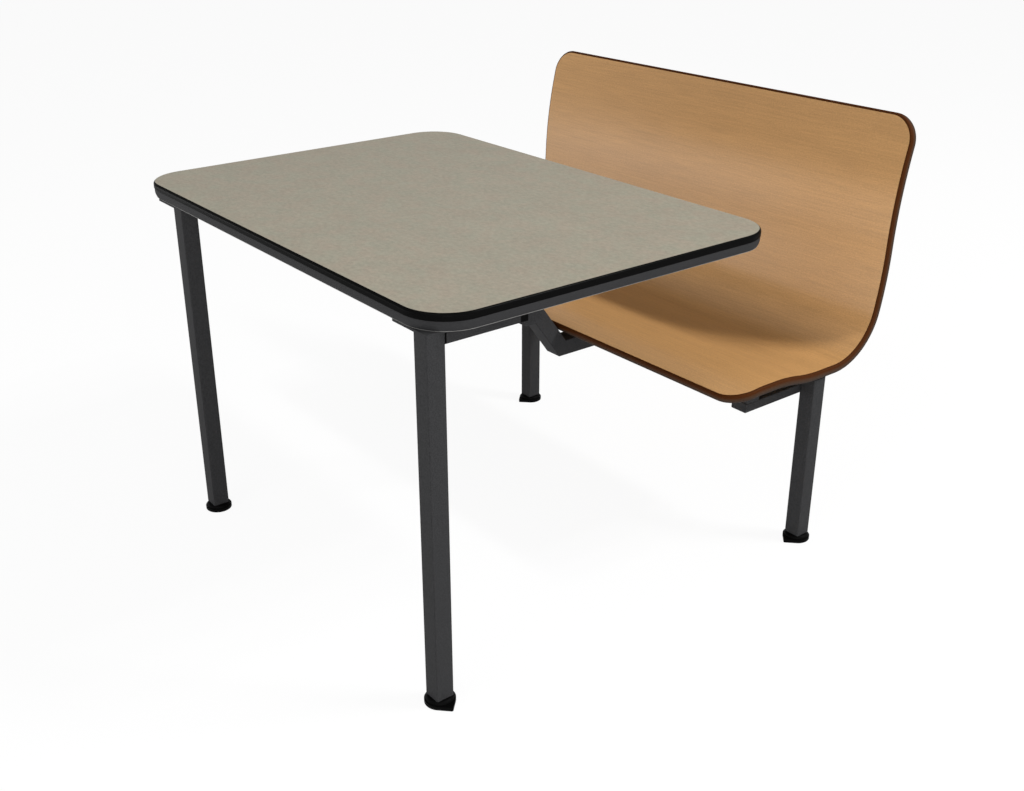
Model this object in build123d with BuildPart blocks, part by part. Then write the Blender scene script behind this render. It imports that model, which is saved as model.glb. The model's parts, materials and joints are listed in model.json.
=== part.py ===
from build123d import *
import os
from math import cos, radians, sin, tan

# Table with an attached bench.
# A laminate table top and a contoured plywood bench stand on one welded steel frame.
# Two legs carry the table's front, two carry the bench, and one bent beam in the middle ties them.
# X runs along the bench, +Y from the table to the bench, +Z up.
# The origin is on the floor under the middle of the whole footprint.

# Table top, measured over its edge
table_length = 1074.0
table_depth = 769.0
table_height = 724.5
top_thickness = 30.5
table_corner = 83.5
laminate_inset = 3.5
laminate_thickness = 1.2
backer_thickness = 0.8

# Edge moulding: a polished roll above a matt band
edge_width = 11.5
roll_height = 13.5
roll_crown = 5.5
roll_under_radius = 2.0
band_step = 1.0
band_straight = 5.0
band_tuck = 4.0
tongue_depth = 8.0
tongue_thickness = 3.0

# Steel tubes and plates
tube = 35.0
flat_tube_width = 38.0
flat_tube_height = 19.0
tube_wall = 1.6
tube_corner = 2.2
beam_width = 45.0
cap_thickness = 2.0

# Table frame: the overhangs run from the ends of the top to the legs' outer faces
table_left_overhang = 148.75
table_right_overhang = 24.75
cross_tube_inset = 7.75
plate_thickness = 4.0
plate_depth = 95.0
right_plate_overhang = 59.0
left_plate_overhang = 71.5
side_rail_span = 161.0
plug_flange = 2.5
rail_block_length = 15.0
plug_depth = 18.0
plug_clearance = 0.2

# Link beam from the cross tube down and on under the seat frame
bench_distance = 378.0
beam_level_reach = 68.0
beam_slope = 53.9

# Seat frame: the overhangs run from the ends of the bench to the legs' outer faces
bench_left_overhang = 130.5
bench_right_overhang = 6.5
seat_height = 412.0
arm_reach = 1.0
bench_leg_setback = 195.0
pad_length = 40.0

# Contoured shell, as arcs and straights along its middle section
bench_length = 1082.0
shell_thickness = 18.5
skin_thickness = 0.8
shell_corner = 56.5
lip_radius = 230.0
lip_turn = 19.9
seat_ease_radius = 346.0
seat_ease_turn = 10.9
seat_hollow_run = 49.0
knee_radius = 113.0
knee_turn = 77.7
lower_back_radius = 727.0
lower_back_turn = 10.35
lumbar_radius = 988.0
lumbar_turn = 11.0
back_top_run = 74.8
blank_extra_turn = 5.0
blank_extra_run = 12.0

# Levelling glides: a round base with one square corner, under a domed shoulder
glide_height = 15.0
glide_radius = 28.0
glide_base_height = 8.0
glide_corner_rounding = 3.0
glide_edge = 1.5
glide_shoulder_radius = 26.0
glide_neck_radius = 20.5
glide_recess_depth = 4.0
stem_flange_radius = 11.0
stem_flange_thickness = 2.5
stem_radius = 4.75
stem_length = 42.0
stem_fit = 0.05
insert_length = 30.0

# Screws, bolts and threaded inserts
screw_radius = 2.5
screw_clearance = 0.3
screw_head_radius = 5.0
screw_head_height = 2.5
screw_bite = 20.0
screw_access_radius = 7.0
plate_screw_margin = 14.0
bolt_radius = 3.0
bolt_clearance = 0.4
bolt_head_radius = 6.5
bolt_head_height = 3.5
bolt_socket_radius = 2.0
bolt_socket_depth = 2.0
seat_insert_radius = 5.0
seat_insert_length = 12.0
plate_screw_shares = (0.0, 0.5, 1.0)
cross_screw_shares = (-0.38, -0.13, 0.13, 0.38)
seat_bolt_shares = (-0.4, -0.14, 0.14, 0.4)

# Levels
underside = table_height - top_thickness
roll_bottom = table_height - roll_height
core_bottom = underside + backer_thickness
core_top = table_height - laminate_thickness
plate_bottom = underside - plate_thickness
seat_underside = seat_height - shell_thickness
seat_tube_bottom = seat_underside - tube
arm_bottom = seat_tube_bottom - flat_tube_height
rear_rail_top = seat_tube_bottom + flat_tube_height
hollow_drop = 2 * seat_ease_radius * (1 - cos(radians(seat_ease_turn)))
hollow_underside = seat_underside - hollow_drop
pad_thickness = hollow_underside - rear_rail_top


def shell_curve(land_y, depth, extra_turn=0, extra_run=0):
    """The side outline of the shell at a depth under its face, from the front lip up to the top edge.

    The pressed blank is longer than the finished shell: extra_turn and extra_run lengthen its two ends.
    """
    lip_sweep = lip_turn + extra_turn
    lip_angle = radians(lip_sweep)
    lip_front = land_y - (lip_radius - depth) * sin(lip_angle)
    lip_level = seat_height - lip_radius + (lip_radius - depth) * cos(lip_angle)
    lip = JernArc((lip_front, lip_level), (cos(lip_angle), sin(lip_angle)), lip_radius - depth, -lip_sweep)
    land = Line(lip @ 1, (lip @ 1) + Vector(tube, 0))
    fall = JernArc(land @ 1, land % 1, seat_ease_radius - depth, -seat_ease_turn)
    level = JernArc(fall @ 1, fall % 1, seat_ease_radius + depth, seat_ease_turn)
    hollow = Line(level @ 1, (level @ 1) + Vector(seat_hollow_run, 0))
    knee = JernArc(hollow @ 1, hollow % 1, knee_radius + depth, knee_turn)
    lower_back = JernArc(knee @ 1, knee % 1, lower_back_radius + depth, lower_back_turn)
    lumbar = JernArc(lower_back @ 1, lower_back % 1, lumbar_radius - depth, -lumbar_turn)
    top = Line(lumbar @ 1, (lumbar @ 1) + (lumbar % 1) * (back_top_run + extra_run))
    return lip @ 0, top @ 1


# The footprint's middle is the origin, so the table's place follows from the bench's reach behind it
with BuildLine() as face_outline:
    shell_front, shell_top = shell_curve(0, 0)
back_lean = radians(knee_turn + lower_back_turn - lumbar_turn)
back_reach = bench_distance + shell_top.X + shell_thickness * sin(back_lean)
table_y = -(table_depth / 2 + back_reach) / 2 + table_depth / 2
bench_y = table_y + bench_distance

# Places along Y
core_front = table_y - table_depth / 2 + laminate_inset
table_leg_y = core_front + tube / 2
leg_back = core_front + tube
cross_tube_front = leg_back + side_rail_span
cross_tube_back = cross_tube_front + tube
bench_leg_back = bench_y + bench_leg_setback
bench_leg_y = bench_leg_back - tube / 2
hollow_front = bench_y + tube + 2 * seat_ease_radius * sin(radians(seat_ease_turn))
rear_rail_y = bench_leg_back - flat_tube_width / 2
pad_y = (hollow_front + bench_leg_back) / 2
pad_width = bench_leg_back - hollow_front
seat_tube_y = bench_y + tube / 2

# Places along X: the right legs are set in less than the left ones
table_leg_spacing = table_length - table_left_overhang - table_right_overhang - tube
table_frame_x = (table_left_overhang - table_right_overhang) / 2
cross_tube_length = table_leg_spacing + tube - 2 * cross_tube_inset
bench_leg_spacing = bench_length - bench_left_overhang - bench_right_overhang - tube
bench_frame_x = (bench_left_overhang - bench_right_overhang) / 2
arm_outer = bench_leg_spacing / 2 - tube / 2
arm_x = arm_outer - flat_tube_width / 2
seat_tube_length = 2 * arm_outer

# Outline of the core, inside the edge moulding
core_length = table_length - 2 * edge_width
core_depth = table_depth - 2 * edge_width
core_corner = table_corner - edge_width
tongue_bottom = roll_bottom + (roll_height - laminate_thickness - tongue_thickness) / 2

# The shell's two ends: a point of the face on each, and the way out along the face
shell_ends = (
    (
        Vector(0, bench_y + shell_front.X, shell_front.Y),
        Vector(0, -cos(radians(lip_turn)), -sin(radians(lip_turn))),
    ),
    (
        Vector(0, bench_y + shell_top.X, shell_top.Y),
        Vector(0, cos(back_lean), sin(back_lean)),
    ),
)

hands = {"left": -1, "right": 1}
plate_overhangs = {"left": left_plate_overhang, "right": right_plate_overhang}

os.makedirs("parts", exist_ok=True)


def keep(piece, name):
    """Label a finished piece and write it."""
    piece.part.label = name
    export_step(piece.part, f"parts/{name}.step")


def steel_tube(start, along, across, length, width, height):
    """A rolled steel tube with rounded corners, open from end to end."""
    with BuildPart() as steel:
        with BuildSketch(Plane(origin=start, x_dir=across, z_dir=along)):
            RectangleRounded(width, height, tube_corner)
            RectangleRounded(
                width - 2 * tube_wall, height - 2 * tube_wall, tube_corner - tube_wall, mode=Mode.SUBTRACT
            )
        extrude(amount=length)
    return steel


def end_cap(start, along, across, width, height):
    """A plate welded over the end of a tube, with the tube's own outline."""
    with BuildPart() as cap:
        with BuildSketch(Plane(origin=start, x_dir=across, z_dir=along)):
            RectangleRounded(width, height, tube_corner)
        extrude(amount=cap_thickness)
    return cap


def end_plug(start, along, across, width, height, head):
    """A plastic plug: a head that meets the next piece, and a boss inside the tube."""
    with BuildPart() as plug:
        with BuildSketch(Plane(origin=start, x_dir=across, z_dir=along)):
            RectangleRounded(width, height, tube_corner)
        extrude(amount=-head)
        with BuildSketch(Plane(origin=start, x_dir=across, z_dir=along)):
            bore_gap = 2 * (tube_wall + plug_clearance)
            RectangleRounded(width - bore_gap, height - bore_gap, tube_corner - tube_wall)
        extrude(amount=plug_depth)
    return plug


# Screw and bolt places
plate_screw_places = []
for side, hand in hands.items():
    strip = plate_overhangs[side] / 2
    strip_x = table_frame_x + hand * table_leg_spacing / 2 - tube / 2 - strip
    for share in plate_screw_shares:
        reach = share * (plate_depth - 2 * plate_screw_margin)
        plate_screw_places.append((strip_x, core_front + plate_screw_margin + reach))
cross_tube_y = cross_tube_front + tube / 2
cross_screw_places = [
    (table_frame_x + share * cross_tube_length, cross_tube_y) for share in cross_screw_shares
]
front_bolt_places = [
    (bench_frame_x + share * seat_tube_length, seat_tube_y) for share in seat_bolt_shares
]
rear_bolt_places = [(bench_frame_x + share * seat_tube_length, pad_y) for share in seat_bolt_shares]

# Table top: core, with a groove for the moulding's tongue and pilot holes for the screws
with BuildPart() as tabletop_core:
    with BuildSketch(Plane((0, table_y, core_bottom))):
        RectangleRounded(core_length, core_depth, core_corner)
    extrude(amount=core_top - core_bottom)
    with BuildSketch(Plane((0, table_y, tongue_bottom))):
        RectangleRounded(core_length, core_depth, core_corner)
        RectangleRounded(
            core_length - 2 * tongue_depth,
            core_depth - 2 * tongue_depth,
            core_corner - tongue_depth,
            mode=Mode.SUBTRACT,
        )
    extrude(amount=tongue_thickness, mode=Mode.SUBTRACT)
    with BuildSketch(Plane.XY.offset(core_bottom)):
        with Locations(*plate_screw_places, *cross_screw_places):
            Circle(screw_radius)
    extrude(amount=screw_bite - backer_thickness, mode=Mode.SUBTRACT)
keep(tabletop_core, "tabletop_core")

with BuildPart() as top_laminate:
    with BuildSketch(Plane((0, table_y, core_top))):
        RectangleRounded(
            table_length - 2 * laminate_inset,
            table_depth - 2 * laminate_inset,
            table_corner - laminate_inset,
        )
    extrude(amount=laminate_thickness)
keep(top_laminate, "top_laminate")

with BuildPart() as backer_sheet:
    with BuildSketch(Plane((0, table_y, underside))):
        RectangleRounded(
            table_length - 2 * band_tuck, table_depth - 2 * band_tuck, table_corner - band_tuck
        )
    extrude(amount=backer_thickness)
    with BuildSketch(Plane.XY.offset(underside)):
        with Locations(*plate_screw_places, *cross_screw_places):
            Circle(screw_radius)
    extrude(amount=backer_thickness, mode=Mode.SUBTRACT)
keep(backer_sheet, "backer_sheet")


def roll_section():
    """Section of the polished roll: a crowned nose, a notch under the laminate, and a tongue."""
    crown_start = roll_height - roll_crown
    lip_inside = edge_width - laminate_inset
    notch = roll_height - laminate_thickness
    tongue_low = tongue_bottom - roll_bottom
    bottom = Line((0, 0), (edge_width - roll_under_radius, 0))
    under = JernArc(bottom @ 1, (1, 0), roll_under_radius, 90)
    nose = Line(under @ 1, (edge_width, crown_start))
    crown = TangentArc((edge_width, crown_start), (lip_inside, roll_height), tangent=nose % 1)
    Polyline(
        crown @ 1,
        (lip_inside, notch),
        (0, notch),
        (0, tongue_low + tongue_thickness),
        (-tongue_depth, tongue_low + tongue_thickness),
        (-tongue_depth, tongue_low),
        (0, tongue_low),
        (0, 0),
    )


def band_section():
    """Section of the matt band under the roll: straight at first, then tucked in to the backer sheet."""
    band_height = roll_bottom - core_bottom
    band_face = edge_width - band_step
    curve_start = -band_straight
    face = Polyline((0, 0), (band_face, 0), (band_face, curve_start))
    tuck = TangentArc((band_face, curve_start), (edge_width - band_tuck, -band_height), tangent=(0, -1))
    Polyline(tuck @ 1, (0, -band_height), (0, 0))


# Edge moulding, run round the core
for name, section in (("edge_roll", roll_section), ("edge_band", band_section)):
    with BuildPart() as moulding:
        with BuildLine(Plane((0, table_y, roll_bottom))) as rim:
            FilletPolyline(
                (core_length / 2, -core_depth / 2),
                (core_length / 2, core_depth / 2),
                (-core_length / 2, core_depth / 2),
                (-core_length / 2, -core_depth / 2),
                radius=core_corner,
                close=True,
            )
        along = rim.wire() % 0
        outward = along.cross(Vector(0, 0, 1))
        with BuildSketch(Plane(origin=rim.wire() @ 0, x_dir=outward, z_dir=-along)):
            with BuildLine():
                section()
            make_face()
        sweep(path=rim.wire())
    keep(moulding, name)

# Table legs, their plates, the side rails and the plugs at the rails' ends
for side, hand in hands.items():
    leg_x = table_frame_x + hand * table_leg_spacing / 2
    rail_x = leg_x + hand * (tube - flat_tube_width) / 2
    rail_z = plate_bottom - flat_tube_height / 2

    table_leg = steel_tube(
        (leg_x, table_leg_y, glide_height), (0, 0, 1), (1, 0, 0), plate_bottom - glide_height, tube, tube
    )
    keep(table_leg, f"table_leg_{side}")

    plate_length = plate_overhangs[side] + tube
    plate_x = leg_x + tube / 2 - plate_length / 2
    with BuildPart() as leg_plate:
        with BuildSketch(Plane((plate_x, core_front + plate_depth / 2, plate_bottom))):
            RectangleRounded(plate_length, plate_depth, tube_corner)
        extrude(amount=plate_thickness)
        with BuildSketch(Plane.XY.offset(plate_bottom)):
            with Locations(*plate_screw_places):
                Circle(screw_radius + screw_clearance)
        extrude(amount=plate_thickness, mode=Mode.SUBTRACT)
    keep(leg_plate, f"leg_plate_{side}")

    rail_front = leg_back + plug_flange
    rail_back = cross_tube_front - rail_block_length
    side_rail = steel_tube(
        (rail_x, rail_front, rail_z),
        (0, 1, 0),
        (1, 0, 0),
        rail_back - rail_front,
        flat_tube_width,
        flat_tube_height,
    )
    keep(side_rail, f"side_rail_{side}")
    front_plug = end_plug(
        (rail_x, rail_front, rail_z), (0, 1, 0), (1, 0, 0), flat_tube_width, flat_tube_height, plug_flange
    )
    keep(front_plug, f"rail_plug_{side}")
    rear_block = end_plug(
        (rail_x, rail_back, rail_z),
        (0, -1, 0),
        (1, 0, 0),
        flat_tube_width,
        flat_tube_height,
        rail_block_length,
    )
    keep(rear_block, f"rail_block_{side}")

# Cross tube under the top, with holes for its screws and for the screwdriver below them
cross_z = underside - tube / 2
cross_half = cross_tube_length / 2
cross_tube = steel_tube(
    (table_frame_x - cross_half + cap_thickness, cross_tube_y, cross_z),
    (1, 0, 0),
    (0, 1, 0),
    cross_tube_length - 2 * cap_thickness,
    tube,
    tube,
)
with BuildPart() as link_cross_tube:
    add(cross_tube.part)
    with BuildSketch(Plane.XY.offset(underside - tube_wall)):
        with Locations(*cross_screw_places):
            Circle(screw_radius + screw_clearance)
    extrude(amount=tube_wall, mode=Mode.SUBTRACT)
    with BuildSketch(Plane.XY.offset(underside - tube)):
        with Locations(*cross_screw_places):
            Circle(screw_access_radius)
    extrude(amount=tube_wall, mode=Mode.SUBTRACT)
keep(link_cross_tube, "link_cross_tube")
for side, hand in hands.items():
    cross_cap = end_cap(
        (table_frame_x + hand * (cross_half - cap_thickness), cross_tube_y, cross_z),
        (hand, 0, 0),
        (0, 1, 0),
        tube,
        tube,
    )
    keep(cross_cap, f"cross_tube_cap_{side}")

# Link beam: three runs of one tube, mitred where they meet, under the middle of the top and the bench
beam_low_z = seat_tube_bottom - tube / 2
slope_angle = radians(beam_slope)
beam_end = Vector(0, bench_leg_back - cap_thickness, beam_low_z)
lower_bend = Vector(0, bench_y - beam_level_reach, beam_low_z)
bend_rise = cross_z - beam_low_z
upper_bend = Vector(0, lower_bend.Y - bend_rise / tan(slope_angle), cross_z)
slope_dir = (upper_bend - lower_bend).normalized()
mitre_dir = Vector(0, -cos(slope_angle / 2), sin(slope_angle / 2))
mitre_reach = tube * tan(slope_angle / 2)
lower_mitre = Plane(origin=lower_bend, z_dir=mitre_dir)
upper_mitre = Plane(origin=upper_bend, z_dir=mitre_dir)

beam_runs = {
    "lower": (beam_end, lower_bend, Vector(0, -1, 0)),
    "slope": (lower_bend, upper_bend, slope_dir),
    "upper": (upper_bend, Vector(0, cross_tube_back, cross_z), Vector(0, -1, 0)),
}
for run, (start, end, direction) in beam_runs.items():
    before = mitre_reach if run != "lower" else 0
    after = mitre_reach if run != "upper" else 0
    run_length = (end - start).length + before + after
    straight_run = steel_tube(start - direction * before, direction, (1, 0, 0), run_length, beam_width, tube)
    with BuildPart() as link_beam:
        add(straight_run.part)
        if run != "lower":
            split(bisect_by=lower_mitre if run == "slope" else upper_mitre, keep=Keep.TOP)
        if run != "upper":
            split(bisect_by=lower_mitre if run == "lower" else upper_mitre, keep=Keep.BOTTOM)
    keep(link_beam, f"link_beam_{run}")
keep(end_cap(beam_end, (0, 1, 0), (1, 0, 0), beam_width, tube), "link_beam_cap")

# Seat frame: arms, front tube on the arms, rear rail between the legs, bench legs
for side, hand in hands.items():
    leg_x = bench_frame_x + hand * bench_leg_spacing / 2
    side_arm_x = bench_frame_x + hand * arm_x
    arm_front = bench_y - arm_reach
    arm_z = arm_bottom + flat_tube_height / 2
    seat_arm = steel_tube(
        (side_arm_x, arm_front + cap_thickness, arm_z),
        (0, 1, 0),
        (1, 0, 0),
        bench_leg_back - arm_front - 2 * cap_thickness,
        flat_tube_width,
        flat_tube_height,
    )
    keep(seat_arm, f"seat_arm_{side}")
    front_cap = end_cap(
        (side_arm_x, arm_front + cap_thickness, arm_z),
        (0, -1, 0),
        (1, 0, 0),
        flat_tube_width,
        flat_tube_height,
    )
    keep(front_cap, f"arm_front_cap_{side}")
    rear_cap = end_cap(
        (side_arm_x, bench_leg_back - cap_thickness, arm_z),
        (0, 1, 0),
        (1, 0, 0),
        flat_tube_width,
        flat_tube_height,
    )
    keep(rear_cap, f"arm_rear_cap_{side}")

    bench_leg = steel_tube(
        (leg_x, bench_leg_y, glide_height), (0, 0, 1), (1, 0, 0), rear_rail_top - glide_height, tube, tube
    )
    keep(bench_leg, f"bench_leg_{side}")
    leg_cap = end_plug(
        (leg_x, bench_leg_y, rear_rail_top), (0, 0, -1), (1, 0, 0), tube, tube, pad_thickness
    )
    with BuildPart() as bench_leg_cap:
        add(leg_cap.part)
        with BuildSketch(Plane.YZ.offset(leg_x - tube / 2)):
            with BuildLine():
                shell_back = shell_curve(bench_y, shell_thickness)
                front_corner = (shell_back[0].X, shell_back[1].Y)
                Polyline(shell_back[1], front_corner, shell_back[0])
            make_face()
        extrude(amount=tube, mode=Mode.SUBTRACT)
    keep(bench_leg_cap, f"bench_leg_cap_{side}")

seat_tube_z = seat_tube_bottom + tube / 2
seat_tube = steel_tube(
    (bench_frame_x - arm_outer + cap_thickness, seat_tube_y, seat_tube_z),
    (1, 0, 0),
    (0, 1, 0),
    seat_tube_length - 2 * cap_thickness,
    tube,
    tube,
)
rear_rail = steel_tube(
    (bench_frame_x - arm_outer, rear_rail_y, rear_rail_top - flat_tube_height / 2),
    (1, 0, 0),
    (0, 1, 0),
    seat_tube_length,
    flat_tube_width,
    flat_tube_height,
)
seat_rails = (
    ("front_seat_tube", seat_tube, front_bolt_places, tube),
    ("rear_seat_rail", rear_rail, rear_bolt_places, flat_tube_height),
)
for name, plain_tube, places, rail_height in seat_rails:
    with BuildPart() as drilled_tube:
        add(plain_tube.part)
        with BuildSketch(Plane.XY.offset(seat_tube_bottom)):
            with Locations(*places):
                Circle(bolt_radius + bolt_clearance)
        extrude(amount=rail_height, mode=Mode.SUBTRACT)
    keep(drilled_tube, name)
for side, hand in hands.items():
    seat_cap = end_cap(
        (bench_frame_x + hand * (arm_outer - cap_thickness), seat_tube_y, seat_tube_z),
        (hand, 0, 0),
        (0, 1, 0),
        tube,
        tube,
    )
    keep(seat_cap, f"seat_tube_cap_{side}")

# Pads between the rear rail and the shell's hollow
with BuildPart() as rear_rail_pads:
    with BuildSketch(Plane.XY.offset(rear_rail_top)):
        with Locations(*rear_bolt_places):
            Rectangle(pad_length, pad_width)
            Circle(bolt_radius + bolt_clearance, mode=Mode.SUBTRACT)
    extrude(amount=pad_thickness)
keep(rear_rail_pads, "rear_rail_pads")


def shell_layer(face_depth, thickness):
    """One layer of the shell: a blank bent to the curve, then trimmed at both ends with rounded corners."""
    with BuildPart() as layer:
        with BuildSketch(Plane.YZ.offset(-bench_length / 2)):
            with BuildLine():
                face = shell_curve(bench_y, face_depth, blank_extra_turn, blank_extra_run)
                under = shell_curve(bench_y, face_depth + thickness, blank_extra_turn, blank_extra_run)
                Line(face[0], under[0])
                Line(face[1], under[1])
            make_face()
        extrude(amount=bench_length)
        for end, outward in shell_ends:
            with BuildSketch(Plane(origin=end, x_dir=(1, 0, 0), z_dir=Vector(1, 0, 0).cross(outward))):
                Rectangle(bench_length + 2 * shell_corner, 2 * shell_corner)
                with Locations((0, -2 * shell_corner)):
                    RectangleRounded(
                        bench_length, 2 * (2 * shell_corner), shell_corner, mode=Mode.SUBTRACT
                    )
            extrude(amount=shell_corner, both=True, mode=Mode.SUBTRACT)
    return layer


# Shell: bent core between two decorative skins, with inserts for the bolts in the core's underside
core_thickness = shell_thickness - 2 * skin_thickness
shell_face = shell_layer(0, skin_thickness)
keep(shell_face, "shell_face_skin")
bolt_levels = ((seat_underside, front_bolt_places), (hollow_underside, rear_bolt_places))
with BuildPart() as shell_core:
    add(shell_layer(skin_thickness, core_thickness).part)
    for level, places in bolt_levels:
        with BuildSketch(Plane.XY.offset(level)):
            with Locations(*places):
                Circle(seat_insert_radius)
        extrude(amount=skin_thickness + seat_insert_length, mode=Mode.SUBTRACT)
keep(shell_core, "shell_core")
with BuildPart() as shell_back:
    add(shell_layer(skin_thickness + core_thickness, skin_thickness).part)
    for level, places in bolt_levels:
        with BuildSketch(Plane.XY.offset(level)):
            with Locations(*places):
                Circle(seat_insert_radius)
        extrude(amount=skin_thickness, mode=Mode.SUBTRACT)
keep(shell_back, "shell_back_skin")

with BuildPart() as seat_inserts:
    for level, places in bolt_levels:
        with BuildSketch(Plane.XY.offset(level + skin_thickness)):
            with Locations(*places):
                Circle(seat_insert_radius)
                Circle(bolt_radius, mode=Mode.SUBTRACT)
        extrude(amount=seat_insert_length)
keep(seat_inserts, "seat_inserts")

# Bolts up through the seat tubes into the inserts
bolt_sets = (
    ("front_seat_bolts", front_bolt_places, seat_underside),
    ("rear_seat_bolts", rear_bolt_places, hollow_underside),
)
for name, places, level in bolt_sets:
    with BuildPart() as bolts:
        with BuildSketch(Plane.XY.offset(seat_tube_bottom)):
            with Locations(*places):
                Circle(bolt_radius)
        extrude(amount=level + seat_insert_length - seat_tube_bottom)
        with BuildSketch(Plane.XY.offset(seat_tube_bottom - bolt_head_height)):
            with Locations(*places):
                Circle(bolt_head_radius)
        extrude(amount=bolt_head_height)
        with BuildSketch(Plane.XY.offset(seat_tube_bottom - bolt_head_height)):
            with Locations(*places):
                RegularPolygon(bolt_socket_radius, 6)
        extrude(amount=bolt_socket_depth, mode=Mode.SUBTRACT)
    keep(bolts, name)

# Screws up through the plates and the cross tube into the core
screw_sets = (
    ("plate_screws", plate_screw_places, plate_bottom),
    ("cross_tube_screws", cross_screw_places, underside - tube_wall),
)
for name, places, seat_level in screw_sets:
    with BuildPart() as screws:
        with BuildSketch(Plane.XY.offset(seat_level)):
            with Locations(*places):
                Circle(screw_radius)
        extrude(amount=underside + screw_bite - seat_level)
        with BuildSketch(Plane.XY.offset(seat_level - screw_head_height)):
            with Locations(*places):
                Circle(screw_head_radius)
        extrude(amount=screw_head_height)
    keep(screws, name)

# Leg inserts and levelling glides
insert_width = tube - 2 * (tube_wall + plug_clearance)
leg_places = {}
for side, hand in hands.items():
    table_leg_x = table_frame_x + hand * table_leg_spacing / 2
    bench_leg_x = bench_frame_x + hand * bench_leg_spacing / 2
    leg_places[f"table_{side}"] = (table_leg_x, table_leg_y, Vector(hand, 0, 0))
    leg_places[f"bench_{side}"] = (bench_leg_x, bench_leg_y, Vector(0, -1, 0))
for place, (leg_x, leg_y, corner_dir) in leg_places.items():
    with BuildPart() as leg_insert:
        with BuildSketch(Plane((leg_x, leg_y, glide_height))):
            RectangleRounded(insert_width, insert_width, tube_corner - tube_wall)
            Circle(stem_radius + stem_fit, mode=Mode.SUBTRACT)
        extrude(amount=insert_length)
    keep(leg_insert, f"leg_insert_{place}")

    recess_floor = glide_height - glide_recess_depth
    with BuildPart() as glide_pad:
        base_plane = Plane(origin=(leg_x, leg_y, 0), x_dir=corner_dir, z_dir=(0, 0, 1))
        with BuildSketch(base_plane.rotated((0, 0, -45))) as base:
            Circle(glide_radius)
            Rectangle(glide_radius, glide_radius, align=(Align.MIN, Align.MIN))
            fillet(base.vertices().sort_by_distance((0, 0, 0))[-1], radius=glide_corner_rounding)
        extrude(amount=glide_base_height)
        fillet(glide_pad.edges().group_by(Axis.Z)[0], radius=glide_edge)
        with BuildSketch(Plane(origin=(leg_x, leg_y, glide_base_height), x_dir=(1, 0, 0), z_dir=(0, -1, 0))):
            with BuildLine():
                shoulder_height = glide_height - glide_base_height
                shoulder_foot = Line((0, 0), (glide_shoulder_radius, 0))
                shoulder = TangentArc(
                    shoulder_foot @ 1, (glide_neck_radius, shoulder_height), tangent=(0, 1)
                )
                Polyline(shoulder @ 1, (0, shoulder_height), (0, 0))
            make_face()
        revolve(axis=Axis((leg_x, leg_y, 0), (0, 0, 1)))
        with BuildSketch(Plane((leg_x, leg_y, recess_floor))):
            Circle(stem_flange_radius + plug_clearance)
        extrude(amount=glide_recess_depth, mode=Mode.SUBTRACT)
    keep(glide_pad, f"glide_pad_{place}")

    with BuildPart() as glide_stem:
        with BuildSketch(Plane((leg_x, leg_y, recess_floor))):
            Circle(stem_flange_radius)
        extrude(amount=stem_flange_thickness)
        with BuildSketch(Plane((leg_x, leg_y, recess_floor + stem_flange_thickness))):
            Circle(stem_radius)
        extrude(amount=stem_length)
    keep(glide_stem, f"glide_stem_{place}")

print("bench and table depth", round(table_depth / 2 + back_reach, 1), "height", round(shell_top.Y, 1))
print("table centre Y", round(table_y, 2), "pad thickness", round(pad_thickness, 2))
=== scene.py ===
import json
from math import cos, pi, radians, sin, tan

import bpy
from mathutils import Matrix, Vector


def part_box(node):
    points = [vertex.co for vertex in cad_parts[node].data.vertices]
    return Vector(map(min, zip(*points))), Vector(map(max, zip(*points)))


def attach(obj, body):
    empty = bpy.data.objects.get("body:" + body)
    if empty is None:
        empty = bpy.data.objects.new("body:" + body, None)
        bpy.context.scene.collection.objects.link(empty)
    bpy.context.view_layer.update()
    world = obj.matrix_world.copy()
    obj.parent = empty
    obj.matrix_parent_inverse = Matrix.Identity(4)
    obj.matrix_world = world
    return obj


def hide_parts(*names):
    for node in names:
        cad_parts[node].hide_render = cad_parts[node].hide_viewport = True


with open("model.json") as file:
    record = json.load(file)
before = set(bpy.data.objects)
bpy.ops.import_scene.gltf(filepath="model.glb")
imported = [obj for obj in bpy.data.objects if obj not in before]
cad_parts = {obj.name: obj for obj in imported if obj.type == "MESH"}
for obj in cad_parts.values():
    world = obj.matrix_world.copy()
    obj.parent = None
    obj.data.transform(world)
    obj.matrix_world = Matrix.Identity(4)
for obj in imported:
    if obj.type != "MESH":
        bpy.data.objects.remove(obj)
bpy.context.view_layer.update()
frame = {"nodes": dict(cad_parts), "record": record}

bl_info = {
    "name": "Table with attached bench",
    "version": (1, 0, 0),
    "blender": (4, 5, 0),
    "location": "3D View > Sidebar > Table and Bench",
    "description": "Finishes and fine detail of a laminate table with a contoured bench on one steel frame",
    "category": "Object",
}


def paint(red, green, blue):
    """A colour read on a 0 to 255 scale, as the linear colour that the shader takes."""
    linear = []
    for level in (red, green, blue):
        share = level / 255
        linear.append(share / 12.92 if share <= 0.04045 else ((share + 0.055) / 1.055) ** 2.4)
    return tuple(linear)


def times(colour, factor):
    """The same colour, darker or lighter."""
    return tuple(level * factor for level in colour)


# The stage: lengths in metres, the camera's sensor in millimetres, and shares of 1

WHITE = (1, 1, 1)
FLOOR_SIZE = 40
FLOOR_GREY = 0.86
FLOOR_WHITENING = 0.93
SEEN_RAYS = ("Is Camera Ray", "Is Glossy Ray", "Is Transmission Ray")
SENSOR_WIDTH = 36
NEAREST_SEEN = 0.05
LAMP_AIM = Vector((0, 0.1, 0.5))

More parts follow.
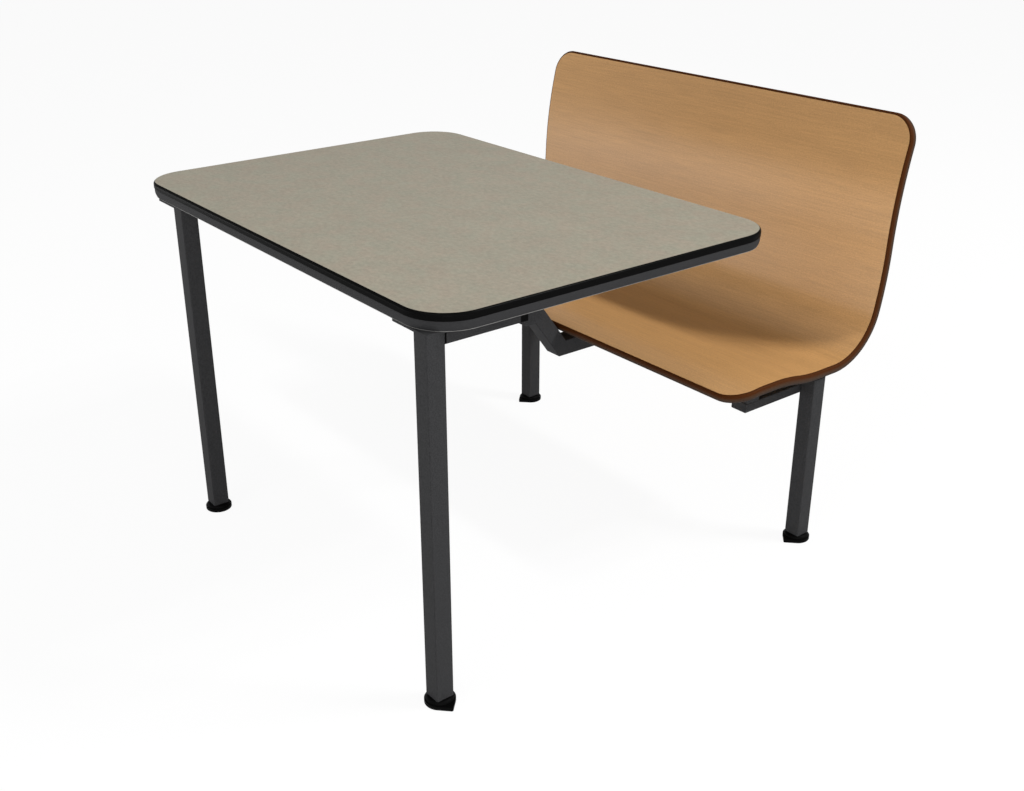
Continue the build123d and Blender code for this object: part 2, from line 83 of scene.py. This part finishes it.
# Each lamp: its name, place, width and height, and power in watts
LAMPS = (
    ("rear_lamp_left", (2.5, 2.9, 4.55), (0.6, 0.2), 92),
    ("rear_lamp_middle", (3.2, 2.9, 4.55), (0.6, 0.2), 103),
    ("rear_lamp_right", (3.9, 2.9, 4.55), (0.6, 0.2), 119),
    ("front_softbox", (0.8, -2.7, 3.6), (2.2, 1.6), 56),
    ("low_softbox", (-1.9, -2.5, 0.26), (3.2, 0.45), 23),
    ("camera_softbox", (3.2, -2.3, 1.1), (1.3, 1.3), 48),
    ("right_softbox", (4.2, -0.3, 0.35), (2.4, 0.6), 20),
)

# Finishes: the spread that holds most of a noise, and lengths in metres

NOISE_SPREAD = (0.3, 0.7)
LAMINATE_TINTS = ((1.03, 0.985, 0.985), (0.97, 1.012, 1.01))
THREAD_PITCH = 0.00125
PLY_PAIR = 0.0028

# How the shell's stained edge turns grey: from which depth to which, and towards what colour
EDGE_FADES = (
    (0.005, 0.010, paint(64, 48, 36)),
    (0.010, 0.016, paint(52, 48, 45)),
)

# Meshes: lengths in metres

MERGE_GAP = 0.000002
SMOOTH_ANGLE = radians(34)
LEVEL_GAP = 0.00001
FLAT_NORMAL = 0.999

# The bench shell: its whole thickness, and how finely its sheet is made
SHELL_THICKNESS = 0.0185
SHELL_CORNER_SEGMENTS = 24
SHELL_RIM_SEGMENTS = 6
ROUND_PROFILE = 0.5
SHELL_SKIN_INSET = 0.002
OUTLINE_STEPS = 64

# The shell's side outline along its face from the front lip: each run's radius and its turn in degrees,
# or its length and no turn
SHELL_RUNS = {
    "lip": (0.230, -19.9),
    "land": (0.035, 0),
    "fall": (0.346, -10.9),
    "level": (0.346, 10.9),
    "hollow": (0.049, 0),
    "knee": (0.113, 77.7),
    "lower_back": (0.727, 10.35),
    "lumbar": (0.988, -11.0),
    "top": (0.0748, 0),
}


def both(*stems):
    """Names of the left and the right piece of each kind."""
    return [f"{stem}_{side}" for stem in stems for side in ("left", "right")]


# The CAD nodes by finish

STEEL_PIECES = (
    *both(
        "table_leg",
        "leg_plate",
        "side_rail",
        "cross_tube_cap",
        "seat_arm",
        "arm_front_cap",
        "arm_rear_cap",
        "bench_leg",
        "seat_tube_cap",
    ),
    "link_cross_tube",
    "link_beam_lower",
    "link_beam_slope",
    "link_beam_upper",
    "link_beam_cap",
    "front_seat_tube",
    "rear_seat_rail",
)
GLIDE_PADS = both("glide_pad_table", "glide_pad_bench")
PLASTIC_FITTINGS = (
    *both("rail_plug", "rail_block", "bench_leg_cap"),
    *both("leg_insert_table", "leg_insert_bench"),
    "rear_rail_pads",
)
FASTENERS = (
    "plate_screws",
    "cross_tube_screws",
    "front_seat_bolts",
    "rear_seat_bolts",
    "seat_inserts",
)
GLIDE_STEMS = both("glide_stem_table", "glide_stem_bench")


# Node trees, written as shader maths


class Wire:
    """One node's output. Sums and products of wires add the Math nodes that they need."""

    def __init__(self, nodes, socket):
        self.nodes = nodes
        self.socket = socket

    def __add__(self, other):
        return self.nodes.maths("ADD", self, other)

    def __mul__(self, other):
        return self.nodes.maths("MULTIPLY", self, other)

    __radd__ = __add__
    __rmul__ = __mul__


class Nodes:
    """A node tree that starts empty and is filled node by node."""

    def __init__(self, tree):
        self.tree = tree
        self.tree.nodes.clear()

    def node(self, kind, settings, sockets, output=0):
        """Add one node: its settings first, then the values or wires of its sockets."""
        node = self.tree.nodes.new(kind)
        for setting, value in settings.items():
            setattr(node, setting, value)
        for socket, value in sockets.items():
            if isinstance(value, Wire):
                self.tree.links.new(value.socket, node.inputs[socket])
            elif node.inputs[socket].type == "RGBA":
                node.inputs[socket].default_value = (*value, 1)
            else:
                node.inputs[socket].default_value = value
        return Wire(self, node.outputs[output]) if node.outputs else None

    def maths(self, operation, first, second):
        return self.node("ShaderNodeMath", {"operation": operation}, {0: first, 1: second})

    def seen(self):
        """1 for what is seen straight on, mirrored or through a clear piece, and 0 for other light."""
        straight, mirrored, through = (self.node("ShaderNodeLightPath", {}, {}, ray) for ray in SEEN_RAYS)
        return straight + mirrored + through

    def blend(self, share, first, second):
        """A shader between two shaders."""
        return self.node("ShaderNodeMixShader", {}, {0: share, 1: first, 2: second})


class Finish(Nodes):
    """A material that is built up from nodes on the piece's own coordinates."""

    def __init__(self, name):
        self.material = bpy.data.materials.new(name)
        self.material.use_nodes = True
        super().__init__(self.material.node_tree)
        self.place = self.node("ShaderNodeTexCoord", {}, {}, "Object")

    def stretched(self, scale):
        """The piece's coordinates, stretched along each axis."""
        return self.node("ShaderNodeMapping", {}, {"Vector": self.place, "Scale": scale})

    def sheet(self, across, along):
        """The place on a sheet before it was bent, stretched both ways."""
        flat = self.node("ShaderNodeUVMap", {"uv_map": "sheet"}, {})
        return self.node("ShaderNodeMapping", {}, {"Vector": flat, "Scale": (across, along, 1)})

    def noise(self, scale=1.0, detail=3.0, rough=0.5, where=None):
        """Soft random levels, on the piece's coordinates or on stretched ones."""
        sockets = {"Vector": where or self.place, "Scale": scale, "Detail": detail, "Roughness": rough}
        return self.node("ShaderNodeTexNoise", {}, sockets, "Fac")

    def attribute(self, name):
        """A number that is stored on each point of the piece."""
        return self.node("ShaderNodeAttribute", {"attribute_name": name}, {}, "Fac")

    def waves(self, distance, pitch):
        """Levels that swing between -1 and 1, once in each pitch."""
        return self.node("ShaderNodeMath", {"operation": "SINE"}, {0: distance * (2 * pi / pitch)})

    def between(self, value, low, high, most=1.0):
        """The value's range from low to high, mapped to 0 up to the most and clamped."""
        sockets = {"Value": value, "From Min": low, "From Max": high, "To Min": 0.0, "To Max": most}
        return self.node("ShaderNodeMapRange", {"clamp": True}, sockets)

    def mix(self, share, first, second, blend="MIX"):
        """A colour between two colours."""
        settings = {"data_type": "RGBA", "blend_type": blend}
        return self.node("ShaderNodeMix", settings, {0: share, 6: first, 7: second}, 2)

    def tones(self, share, ground, darkest, lightest):
        """A ground colour that varies from a darker to a lighter tone of it."""
        return self.mix(share, times(ground, darkest), times(ground, lightest))

    def surface(self, colour, roughness, height, depth, **constants):
        """The shader. Colour, roughness and the bump's height may vary, and other sockets keep one value."""
        bump = self.node("ShaderNodeBump", {}, {"Height": height, "Distance": depth, "Strength": 1.0})
        sockets = {"Base Color": colour, "Roughness": roughness, "Normal": bump}
        for name, value in constants.items():
            sockets[name.replace("_", " ").title().replace("Ior", "IOR")] = value
        shader = self.node("ShaderNodeBsdfPrincipled", {}, sockets)
        self.node("ShaderNodeOutputMaterial", {}, {"Surface": shader})
        return self.material


# Finishes of the table top


def mottled_laminate(ground):
    """Strokes, flecks and clouds of two tints, with small dark specks."""
    laminate = Finish("mottled_laminate")
    strokes = laminate.noise(rough=0.6, where=laminate.stretched((95, 130, 95)))
    fleck = laminate.noise(rough=0.6, where=laminate.stretched((260, 340, 260)))
    cloud = laminate.noise(scale=11, detail=2)
    light = laminate.between(strokes * 0.45 + fleck * 0.4 + cloud * 0.15, low=0.38, high=0.62)
    colour = laminate.tones(light, ground, darkest=0.86, lightest=1.13)
    lean = laminate.between(laminate.noise(scale=26, rough=0.6), low=0.36, high=0.64)
    colour = laminate.mix(1.0, colour, laminate.mix(lean, *LAMINATE_TINTS), "MULTIPLY")
    speck = laminate.noise(scale=1100, detail=2)
    darkening = laminate.between(speck, low=0.58, high=0.78, most=0.5)
    colour = laminate.mix(darkening, colour, times(ground, 0.8))
    roughness = 0.5 + fleck * 0.1
    return laminate.surface(colour, roughness, height=speck, depth=0.00003, specular_ior_level=0.3)


def pressed_board():
    """Pale and darker wood chips."""
    board = Finish("pressed_board")
    chips = board.noise(scale=160, detail=4)
    colour = board.mix(board.between(chips, *NOISE_SPREAD), paint(124, 96, 62), paint(178, 148, 104))
    return board.surface(colour, roughness=0.85, height=chips, depth=0.0003)


def pale_backer_and_painted_highlight():
    """Grey fibrous sheet. Its pale edge under the band is partly the backer's own colour and partly a
    painted highlight along the band's lower edge.
    """
    backer = Finish("pale_backer_and_painted_highlight")
    fibre = backer.noise(scale=70, detail=5)
    # Pale greys: partly the sheet's own colour, partly a painted highlight where its edge shows under the
    # band
    colour = backer.mix(backer.between(fibre, *NOISE_SPREAD), paint(96, 95, 93), paint(110, 109, 107))
    return backer.surface(colour, roughness=0.6, height=fibre, depth=0.00005)


def polished_vinyl(colour):
    """Smooth vinyl with a faint ripple."""
    roll = Finish("polished_vinyl")
    ripple = roll.noise(scale=45, detail=2)
    roughness = 0.26 + ripple * 0.06
    return roll.surface(colour, roughness, height=ripple, depth=0.00005, specular_ior_level=0.008)


def matt_vinyl(ground):
    """Fine-grained vinyl without a shine."""
    band = Finish("matt_vinyl")
    grain = band.noise(scale=700)
    colour = band.tones(band.between(grain, low=0.35, high=0.65), ground, darkest=0.88, lightest=1.12)
    roughness = 0.65 + grain * 0.1
    return band.surface(colour, roughness, height=grain, depth=0.00005, specular_ior_level=0.08)


# Finishes of the frame


def textured_powder_coat(ground):
    """Speckled coat with a fine orange-peel surface."""
    coat = Finish("textured_powder_coat")
    peel = coat.noise(scale=420, detail=2)
    speckle = coat.between(coat.noise(scale=480, rough=0.7), low=0.36, high=0.64)
    colour = coat.tones(speckle, ground, darkest=0.7, lightest=1.34)
    roughness = 0.65 + speckle * 0.12
    return coat.surface(colour, roughness, height=peel, depth=0.00014, specular_ior_level=0.08)


def black_plastic():
    """Moulded plastic with a fine grain."""
    plastic = Finish("black_plastic")
    grain = plastic.noise(scale=800, detail=2)
    colour = plastic.mix(plastic.between(grain, *NOISE_SPREAD), paint(2, 2, 2), paint(6, 6, 6))
    roughness = 0.5 + grain * 0.1
    return plastic.surface(colour, roughness, height=grain, depth=0.00005, specular_ior_level=0.03)


def zinc_plate():
    """Plated steel with a cloudy bloom."""
    zinc = Finish("zinc_plate")
    bloom = zinc.noise(scale=240, detail=4)
    colour = zinc.mix(zinc.between(bloom, *NOISE_SPREAD), paint(148, 150, 152), paint(190, 192, 194))
    roughness = 0.3 + bloom * 0.2
    return zinc.surface(colour, roughness, height=bloom, depth=0.00003, metallic=1.0)


def threaded_zinc():
    """Plated steel with rings at the thread's pitch, across the piece's Z axis. The rings' colour is painted
    shade in the thread's grooves and a painted highlight on its crests.
    """
    thread = Finish("threaded_zinc")
    height = thread.node("ShaderNodeSeparateXYZ", {}, {"Vector": thread.place}, "Z")
    turns = thread.waves(height, THREAD_PITCH)
    # Painted shade in the grooves and a painted highlight on the crests, following the same wave as the bump
    colour = thread.mix(thread.between(turns, low=-1, high=1), paint(120, 122, 124), paint(182, 184, 186))
    return thread.surface(colour, roughness=0.35, height=turns, depth=0.0003, metallic=1.0)


# Finishes of the bench shell


def maple_skin(ground):
    """Lacquered maple under a thin clear coat, with its grain from side to side."""
    maple = Finish("maple_skin")
    figure = maple.noise(where=maple.sheet(1.3, 24))
    fibre = maple.noise(detail=4, rough=0.6, where=maple.sheet(9, 260))
    pores = maple.noise(detail=2, rough=0.6, where=maple.sheet(110, 900))
    fleck = maple.noise(rough=0.7, where=maple.sheet(260, 420))
    grain = figure * 0.12 + fibre * 0.28 + pores * 0.2 + fleck * 0.4
    colour = maple.tones(maple.between(grain, low=0.41, high=0.59), ground, darkest=0.83, lightest=1.15)
    peel = maple.noise(detail=2, rough=0.6, where=maple.sheet(210, 210))
    return maple.surface(
        colour,
        roughness=0.34 + fibre * 0.06,
        height=fibre * 0.3 + peel,
        depth=0.00034,
        specular_ior_level=0.38,
        coat_weight=0.08,
        coat_roughness=0.3,
    )


def stained_ply_edge(ground):
    """Stained plywood edge that turns grey towards the back, with faint lines of plies."""
    edge = Finish("stained_ply_edge")
    depth = edge.attribute("depth")
    grain = edge.noise(rough=0.6, where=edge.stretched((40, 260, 260)))
    colour = ground
    for start, end, faded in EDGE_FADES:
        colour = edge.mix(edge.between(depth, start, end), colour, faded)
    mark = grain * 0.7 + edge.waves(depth, PLY_PAIR) * 0.15
    darkening = edge.between(mark, low=0.1, high=0.6, most=0.5)
    colour = edge.mix(darkening, colour, times(ground, 0.6))
    return edge.surface(colour, roughness=0.6, height=grain, depth=0.00006, specular_ior_level=0.04)


# Ways of making a piece


def dress(material, *names):
    """Give CAD nodes a finish."""
    for name in names:
        piece = frame["nodes"][name]
        if not piece.material_slots:
            piece.data.materials.append(material)
        for slot in piece.material_slots:
            slot.material = material


def alone(piece):
    """Make one object the only selected and the active one."""
    bpy.ops.object.select_all(action="DESELECT")
    piece.select_set(True)
    bpy.context.view_layer.objects.active = piece


def edit(piece, pick, mode="FACE"):
    """Enter edit mode with the faces or edges that pick() accepts selected."""
    alone(piece)
    bpy.ops.object.mode_set(mode="EDIT")
    bpy.ops.mesh.select_mode(type=mode)
    bpy.ops.mesh.select_all(action="DESELECT")
    bpy.ops.object.mode_set(mode="OBJECT")
    parts = {"FACE": piece.data.polygons, "EDGE": piece.data.edges}[mode]
    for part in parts:
        part.select = bool(pick(part))
    bpy.ops.object.mode_set(mode="EDIT")


def done():
    """Leave edit mode."""
    bpy.ops.object.mode_set(mode="OBJECT")


def eased(name, finish):
    """A merged copy of a CAD node, shaded smooth over its rounded corners, in the node's place."""
    node = frame["nodes"][name]
    piece = bpy.data.objects.new(f"{name}_finished", node.data.copy())
    bpy.context.scene.collection.objects.link(piece)
    alone(piece)
    bpy.ops.object.mode_set(mode="EDIT")
    bpy.ops.mesh.select_all(action="SELECT")
    bpy.ops.mesh.remove_doubles(threshold=MERGE_GAP)
    done()
    if piece.data.has_custom_normals:
        bpy.ops.mesh.customdata_custom_splitnormals_clear()
    bpy.ops.object.shade_smooth_by_angle(angle=SMOOTH_ANGLE)
    piece.data.materials.clear()
    piece.data.materials.append(finish)
    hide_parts(name)
    settle(piece, body_of(name))


def body_of(name):
    """The body that carries a CAD node."""
    for body, names in frame["record"]["behaviour"]["bodies"].items():
        if name in names:
            return body
    raise RuntimeError(f"{name} is on no body")


def settle(piece, body):
    """Let a finished piece ride on a body."""
    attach(piece, body)


# The stage


def lay_floor():
    """A wide floor under the object."""
    bpy.ops.object.select_all(action="DESELECT")
    bpy.ops.mesh.primitive_plane_add(size=FLOOR_SIZE, location=(0, 0, 0))
    floor = bpy.context.object
    floor.name = "floor"
    floor.data.materials.append(floor_finish())


def floor_finish():
    """White to the camera and in reflections, with the object's shadow on it, and clear from below."""
    floor = Finish("studio_floor")
    lit = floor.node("ShaderNodeBsdfDiffuse", {}, {"Color": (FLOOR_GREY, FLOOR_GREY, FLOOR_GREY)})
    white = floor.node("ShaderNodeEmission", {}, {"Color": WHITE, "Strength": 1.0})
    above = floor.blend(floor.seen() * FLOOR_WHITENING, lit, white)
    from_below = floor.node("ShaderNodeNewGeometry", {}, {}, "Backfacing")
    clear = floor.node("ShaderNodeBsdfTransparent", {}, {})
    floor.node("ShaderNodeOutputMaterial", {}, {"Surface": floor.blend(from_below, above, clear)})
    return floor.material


def light_studio(sky, backdrop):
    """Soft light from all sides, and a pale backdrop where it is seen or mirrored."""
    world = bpy.data.worlds.new("studio")
    world.use_nodes = True
    studio = Nodes(world.node_tree)
    lighting = studio.node("ShaderNodeBackground", {}, {"Color": WHITE, "Strength": sky})
    scenery = studio.node("ShaderNodeBackground", {}, {"Color": WHITE, "Strength": backdrop})
    shader = studio.blend(studio.seen(), lighting, scenery)
    studio.node("ShaderNodeOutputWorld", {}, {"Surface": shader})
    bpy.context.scene.world = world


def hang_lamps():
    """Soft rectangular lamps, all turned to the middle of the object."""
    for name, place, size, power in LAMPS:
        bpy.ops.object.light_add(type="AREA", location=place)
        lamp = bpy.context.object
        lamp.name = name
        lamp.data.shape = "RECTANGLE"
        lamp.data.size, lamp.data.size_y = size
        lamp.data.energy = power
        lamp.visible_camera = False
        lamp.rotation_euler = (LAMP_AIM - Vector(place)).to_track_quat("-Z", "Y").to_euler()


# The bench shell


def outline():
    """The face's side outline as one curve, and its length."""
    tube_low, tube_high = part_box("front_seat_tube")
    land_start = Vector((tube_low.y, 0, tube_high.z + SHELL_THICKNESS))
    lip_radius, lip_turn = SHELL_RUNS["lip"]
    heading = radians(-lip_turn)
    point = land_start - Vector((lip_radius * sin(heading), 0, lip_radius * (1 - cos(heading))))
    bpy.ops.object.select_all(action="DESELECT")
    bpy.ops.curve.primitive_bezier_curve_add(location=(0, 0, 0))
    curve = bpy.context.object
    curve.name = "shell_outline"
    curve.data.resolution_u = OUTLINE_STEPS
    curve.data.twist_mode = "Z_UP"
    curve.data.splines.clear()
    spline = curve.data.splines.new("BEZIER")
    spline.bezier_points.add(len(SHELL_RUNS))
    total = 0
    reach_in = 0
    # Each run's handles have the length that makes its curve follow a circle
    for knot, (size, turn) in zip(spline.bezier_points, SHELL_RUNS.values()):
        sweep = radians(turn)
        length = abs(size * sweep) if turn else size
        chord = 2 * size * sin(abs(sweep) / 2) if turn else size
        reach = 4 / 3 * tan(abs(sweep) / 4) * size if turn else size / 3
        set_knot(knot, point, heading, reach_in or reach, reach)
        point = point + chord * Vector((cos(heading + sweep / 2), 0, sin(heading + sweep / 2)))
        heading += sweep
        reach_in = reach
        total += length
    set_knot(spline.bezier_points[-1], point, heading, reach_in, reach_in)
    return curve, total


def set_knot(knot, point, heading, reach_in, reach_out):
    """Place one knot of the outline, with its handles along the heading."""
    way = Vector((cos(heading), 0, sin(heading)))
    knot.handle_left_type = knot.handle_right_type = "FREE"
    knot.co = point
    knot.handle_left = point - way * reach_in
    knot.handle_right = point + way * reach_out


def flat_sheet(length, width, corner):
    """A flat sheet with rounded corners: its front lip at X 0 and its face at Z 0."""
    bpy.ops.object.select_all(action="DESELECT")
    bpy.ops.mesh.primitive_plane_add(size=1, location=(0, 0, 0))
    sheet = bpy.context.object
    sheet.name = "bent_shell"
    bpy.ops.object.mode_set(mode="EDIT")
    # The unit square is moved to start at X 0, and then stretched from there
    bpy.ops.transform.translate(value=(0.5, 0, 0))
    bpy.ops.transform.resize(value=(length, width, 1), center_override=(0, 0, 0))
    bpy.ops.mesh.select_mode(type="VERT")
    bpy.ops.mesh.select_all(action="SELECT")
    bpy.ops.mesh.bevel(offset=corner, segments=SHELL_CORNER_SEGMENTS, affect="VERTICES")
    bpy.ops.mesh.select_all(action="SELECT")
    bpy.ops.mesh.extrude_region_move(TRANSFORM_OT_translate={"value": (0, 0, -SHELL_THICKNESS)})
    bpy.ops.mesh.select_all(action="SELECT")
    bpy.ops.mesh.normals_make_consistent(inside=False)
    done()
    return sheet


def is_skin(face):
    """True for the sheet's face and back, and not for its rim."""
    return abs(face.normal.z) > FLAT_NORMAL


def round_rim(sheet, radius):
    """Round the sheet's outline on its face and its back, and keep a narrow flat margin inside it."""
    mesh = sheet.data

    def is_level(line):
        start, end = (mesh.vertices[number].co.z for number in line.vertices)
        return abs(start - end) < LEVEL_GAP

    edit(sheet, is_level, "EDGE")
    bpy.ops.mesh.bevel(
        offset=radius,
        segments=SHELL_RIM_SEGMENTS,
        profile=ROUND_PROFILE,
        affect="EDGES",
        clamp_overlap=False,
    )
    done()
    edit(sheet, is_skin)
    bpy.ops.mesh.inset(thickness=SHELL_SKIN_INSET)
    done()


def cover_sheet(sheet, skin, rim):
    """Give the face and the back the skin, and the rim its own finish."""
    mesh = sheet.data
    mesh.materials.clear()
    mesh.materials.append(skin)
    mesh.materials.append(rim)
    for face in mesh.polygons:
        face.material_index = 0 if is_skin(face) else 1


def cut_strips(sheet, length, spacing):
    """Cut the sheet across into even strips, so that it can bend."""
    alone(sheet)
    bpy.ops.object.mode_set(mode="EDIT")
    strips = int(length / spacing)
    for cut in range(1, strips):
        bpy.ops.mesh.select_all(action="SELECT")
        bpy.ops.mesh.bisect(plane_co=(length * cut / strips, 0, 0), plane_no=(1, 0, 0))
    done()


def store_places(mesh):
    """Keep each point's place on the flat sheet and its depth under the face, for the finishes."""
    flat = mesh.uv_layers.new(name="sheet")
    for loop in mesh.loops:
        place = mesh.vertices[loop.vertex_index].co
        flat.data[loop.index].uv = (place.y, place.x)
    depth = mesh.attributes.new("depth", "FLOAT", "POINT")
    for vertex in mesh.vertices:
        depth.data[vertex.index].value = -vertex.co.z


def bend_sheet(sheet, curve):
    """Bend the sheet along the outline, and turn the outline's plane to YZ."""
    alone(sheet)
    bend = sheet.modifiers.new("bend", "CURVE")
    bend.object = curve
    bend.deform_axis = "POS_X"
    bpy.ops.object.modifier_apply(modifier="bend")
    sheet.rotation_euler = (0, 0, pi / 2)
    bpy.ops.object.transform_apply(location=True, rotation=True, scale=True)
    bpy.ops.object.shade_smooth_by_angle(angle=SMOOTH_ANGLE)
    bpy.data.objects.remove(curve)


def bent_shell(settings, skin, rim):
    """The shell: a flat sheet with rounded corners and a rounded rim, cut into strips, then bent."""
    low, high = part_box("shell_core")
    curve, length = outline()
    sheet = flat_sheet(length, high.x - low.x, settings.corner)
    round_rim(sheet, settings.rim)
    cover_sheet(sheet, skin, rim)
    cut_strips(sheet, length, settings.cut)
    store_places(sheet.data)
    bend_sheet(sheet, curve)
    return sheet


# Sizes and colours that a user would change


class TopSettings(bpy.types.PropertyGroup):
    laminate: bpy.props.FloatVectorProperty(
        name="Laminate",
        description="Ground colour of the mottled laminate",
        subtype="COLOR",
        size=3,
        min=0,
        max=1,
        default=paint(139, 133, 118),
    )
    roll: bpy.props.FloatVectorProperty(
        name="Roll",
        description="Colour of the polished roll round the top",
        subtype="COLOR",
        size=3,
        min=0,
        max=1,
        default=paint(10, 10, 10),
    )
    band: bpy.props.FloatVectorProperty(
        name="Band",
        description="Colour of the matt band under the roll",
        subtype="COLOR",
        size=3,
        min=0,
        max=1,
        default=paint(42, 42, 43),
    )


class SteelSettings(bpy.types.PropertyGroup):
    coat: bpy.props.FloatVectorProperty(
        name="Powder coat",
        description="Colour of the textured powder coat on the steel frame",
        subtype="COLOR",
        size=3,
        min=0,
        max=1,
        default=paint(43, 43, 44),
    )


class BenchSettings(bpy.types.PropertyGroup):
    wood: bpy.props.FloatVectorProperty(
        name="Maple",
        description="Ground colour of the shell's maple skins",
        subtype="COLOR",
        size=3,
        min=0,
        max=1,
        default=paint(175, 133, 84),
    )
    edge: bpy.props.FloatVectorProperty(
        name="Edge",
        description="Colour of the shell's stained plywood edge",
        subtype="COLOR",
        size=3,
        min=0,
        max=1,
        default=paint(64, 32, 8),
    )
    rim: bpy.props.FloatProperty(
        name="Rim",
        description="Radius of the rounding all round the shell's edge",
        subtype="DISTANCE",
        unit="LENGTH",
        default=0.005,
    )
    corner: bpy.props.FloatProperty(
        name="Corner",
        description="Radius of the shell's four corners",
        subtype="DISTANCE",
        unit="LENGTH",
        default=0.0565,
    )
    cut: bpy.props.FloatProperty(
        name="Step",
        description="Distance between the cuts that let the flat sheet bend",
        subtype="DISTANCE",
        unit="LENGTH",
        default=0.006,
    )


class StageSettings(bpy.types.PropertyGroup):
    camera_place: bpy.props.FloatVectorProperty(
        name="Camera place",
        description="Where the photograph was taken from",
        subtype="TRANSLATION",
        unit="LENGTH",
        size=3,
        default=(1.9249, -1.5234, 1.3682),
    )
    camera_turn: bpy.props.FloatVectorProperty(
        name="Camera turn",
        description="The camera's tilt, roll and heading",
        subtype="EULER",
        unit="ROTATION",
        size=3,
        default=(1.14337, 0.0, 0.90548),
    )
    lens: bpy.props.FloatProperty(
        name="Lens",
        description="Focal length that matches the photograph, in millimetres",
        default=42.93,
    )
    sky: bpy.props.FloatProperty(
        name="Sky",
        description="Level of the soft light from all sides",
        default=0.36,
        min=0,
    )
    backdrop: bpy.props.FloatProperty(
        name="Backdrop",
        description="Level of the pale backdrop above the floor, as it is seen and mirrored",
        default=0.62,
        min=0,
    )


# Operators


class BENCHSET_OT_camera(bpy.types.Operator):
    """Stand the camera where the photograph was taken"""

    bl_idname = "benchset.camera"
    bl_label = "Camera"

    def execute(self, context):
        settings = context.scene.benchset_stage
        bpy.ops.object.camera_add(location=settings.camera_place, rotation=settings.camera_turn)
        camera = context.object
        camera.name = "camera"
        camera.data.lens = settings.lens
        camera.data.sensor_width = SENSOR_WIDTH
        camera.data.clip_start = NEAREST_SEEN
        context.scene.camera = camera
        return {"FINISHED"}


class BENCHSET_OT_stage(bpy.types.Operator):
    """Lay the pale floor and hang the soft studio lamps"""

    bl_idname = "benchset.stage"
    bl_label = "Stage"

    def execute(self, context):
        settings = context.scene.benchset_stage
        lay_floor()
        light_studio(settings.sky, settings.backdrop)
        hang_lamps()
        context.scene.view_settings.view_transform = "Standard"
        return {"FINISHED"}


class BENCHSET_OT_top(bpy.types.Operator):
    """Finish the table top: mottled laminate, board, backer, polished roll and matt band"""

    bl_idname = "benchset.top"
    bl_label = "Table top"

    def execute(self, context):
        settings = context.scene.benchset_top
        dress(mottled_laminate(settings.laminate), "top_laminate")
        dress(pressed_board(), "tabletop_core")
        dress(pale_backer_and_painted_highlight(), "backer_sheet")
        eased("edge_roll", polished_vinyl(settings.roll))
        eased("edge_band", matt_vinyl(settings.band))
        return {"FINISHED"}


class BENCHSET_OT_steel(bpy.types.Operator):
    """Coat the steel frame and finish its plugs and screws"""

    bl_idname = "benchset.steel"
    bl_label = "Steel frame"

    def execute(self, context):
        coat = textured_powder_coat(context.scene.benchset_steel.coat)
        for name in STEEL_PIECES:
            eased(name, coat)
        moulded = black_plastic()
        for name in GLIDE_PADS:
            eased(name, moulded)
        dress(moulded, *PLASTIC_FITTINGS)
        dress(zinc_plate(), *FASTENERS)
        dress(threaded_zinc(), *GLIDE_STEMS)
        return {"FINISHED"}


class BENCHSET_OT_bench(bpy.types.Operator):
    """Finish the bench shell: maple skins and a stained plywood edge"""

    bl_idname = "benchset.bench"
    bl_label = "Bench shell"

    def execute(self, context):
        settings = context.scene.benchset_bench
        shell = bent_shell(settings, maple_skin(settings.wood), stained_ply_edge(settings.edge))
        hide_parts("shell_face_skin", "shell_core", "shell_back_skin")
        settle(shell, body_of("shell_core"))
        return {"FINISHED"}


class BENCHSET_PT_sidebar(bpy.types.Panel):
    """Settings and steps of the table with its bench"""

    bl_label = "Table and Bench"
    bl_idname = "BENCHSET_PT_sidebar"
    bl_space_type = "VIEW_3D"
    bl_region_type = "UI"
    bl_category = "Table and Bench"

    def draw(self, context):
        for group, settings_class in SETTINGS.items():
            settings = getattr(context.scene, group)
            for name in settings_class.__annotations__:
                self.layout.prop(settings, name)
        for step in STEPS:
            self.layout.operator(step.bl_idname)


SETTINGS = {
    "benchset_stage": StageSettings,
    "benchset_top": TopSettings,
    "benchset_steel": SteelSettings,
    "benchset_bench": BenchSettings,
}
STEPS = (
    BENCHSET_OT_camera,
    BENCHSET_OT_stage,
    BENCHSET_OT_top,
    BENCHSET_OT_steel,
    BENCHSET_OT_bench,
)


def register():
    for item in (*SETTINGS.values(), *STEPS, BENCHSET_PT_sidebar):
        bpy.utils.register_class(item)
    for group, settings_class in SETTINGS.items():
        setattr(bpy.types.Scene, group, bpy.props.PointerProperty(type=settings_class))


def unregister():
    for group in SETTINGS:
        delattr(bpy.types.Scene, group)
    for item in reversed((*SETTINGS.values(), *STEPS, BENCHSET_PT_sidebar)):
        bpy.utils.unregister_class(item)


def main():
    register()
    bpy.ops.benchset.camera()
    bpy.ops.benchset.stage()
    bpy.ops.benchset.top()
    bpy.ops.benchset.steel()
    bpy.ops.benchset.bench()


if __name__ == "__main__":
    main()
